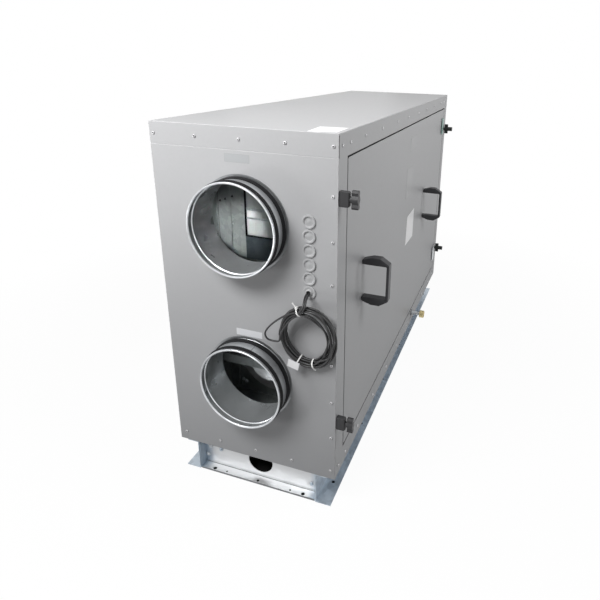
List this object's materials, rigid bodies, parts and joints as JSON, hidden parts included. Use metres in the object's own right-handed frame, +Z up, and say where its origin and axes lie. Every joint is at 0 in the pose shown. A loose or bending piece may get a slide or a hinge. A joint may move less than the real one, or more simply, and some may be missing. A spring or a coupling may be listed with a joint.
{
  "type": "air handling unit",
  "caption": "Compact air handling unit: insulated steel case on a galvanised base frame, round duct spigots on both ends, lift-off service door with bow handles and hand knobs.",
  "frame": {"origin": "on the floor under the middle of the case, on the underside of the middle cross-member's foot", "axes": "+Z up, +Y along the case from the end with the cable entries to the other end, +X out of the side with the door"},
  "size_m": [0.6133, 1.777, 1.115],
  "materials": {
    "housing": "satin",
    "galvanised": "satin",
    "aluminium": "satin",
    "plastic": "matte",
    "rubber": "matte",
    "cable": "satin",
    "grommet": "matte",
    "label": "satin",
    "brass": "satin",
    "filter": "matte"
  },
  "bodies": {
    "case": {"base_rail_left": "galvanised", "base_rail_right": "galvanised", "base_crossmember_front": "galvanised", "base_crossmember_middle": "galvanised", "base_crossmember_rear": "galvanised", "floor_panel": "housing", "front_end_panel": "housing", "rear_end_panel": "housing", "side_panel_left": "housing", "lid": "housing", "door_frame": "housing", "clamp_base_upper_front": "plastic", "clamp_base_lower_front": "plastic", "duct_spigot_upper_front": "galvanised", "duct_spigot_lower_front": "galvanised", "duct_spigot_upper_rear": "galvanised", "duct_spigot_lower_rear": "galvanised", "spigot_seal_upper_front": "rubber", "spigot_seal_lower_front": "rubber", "spigot_seal_upper_rear": "rubber", "spigot_seal_lower_rear": "rubber", "blank_grommet_1": "grommet", "blank_grommet_2": "grommet", "blank_grommet_3": "grommet", "blank_grommet_4": "grommet", "blank_grommet_5": "grommet", "cable_grommet": "grommet", "control_cable": "cable", "control_cable_return": "cable", "cable_loop": "cable", "cable_coil": "cable", "cable_tag": "label", "drain_outlet": "brass", "partition_front": "galvanised", "partition_rear": "galvanised", "heat_exchanger": "aluminium", "plenum_wall_front": "galvanised", "plenum_wall_rear": "galvanised", "filter_front": "filter", "filter_rear": "filter", "fan_mount_lower_front": "galvanised", "fan_wheel_lower_front": "aluminium", "fan_mount_upper_rear": "galvanised", "fan_wheel_upper_rear": "aluminium"},
    "door": {"inspection_door": "housing", "door_gasket": "rubber", "door_handle_front": "plastic", "door_handle_rear": "plastic", "door_keeper_upper": "galvanised", "door_keeper_lower": "galvanised"},
    "knob_upper_front": {"clamp_knob_upper_front": "plastic"},
    "knob_lower_front": {"clamp_knob_lower_front": "plastic"},
    "knob_upper_rear": {"clamp_knob_upper_rear": "plastic"},
    "knob_lower_rear": {"clamp_knob_lower_rear": "plastic"}
  },
  "joints": [
    {"name": "door_lift_off", "type": "slide", "parent": "case", "child": "door", "axis": [1, 0, 0], "range_m": [0, 0.3]},
    {"name": "knob_upper_front_turn", "type": "hinge", "parent": "case", "child": "knob_upper_front", "pos_m": [0.265, -0.8115, 0.9585], "axis": [1, 0, 0], "continuous": true},
    {"name": "knob_lower_front_turn", "type": "hinge", "parent": "case", "child": "knob_lower_front", "pos_m": [0.265, -0.8115, 0.3035], "axis": [1, 0, 0], "continuous": true},
    {"name": "knob_upper_rear_turn", "type": "hinge", "parent": "case", "child": "knob_upper_rear", "pos_m": [0.265, 0.782, 0.945], "axis": [1, 0, 0], "continuous": true},
    {"name": "knob_lower_rear_turn", "type": "hinge", "parent": "case", "child": "knob_lower_rear", "pos_m": [0.265, 0.782, 0.28], "axis": [1, 0, 0], "continuous": true}
  ]
}
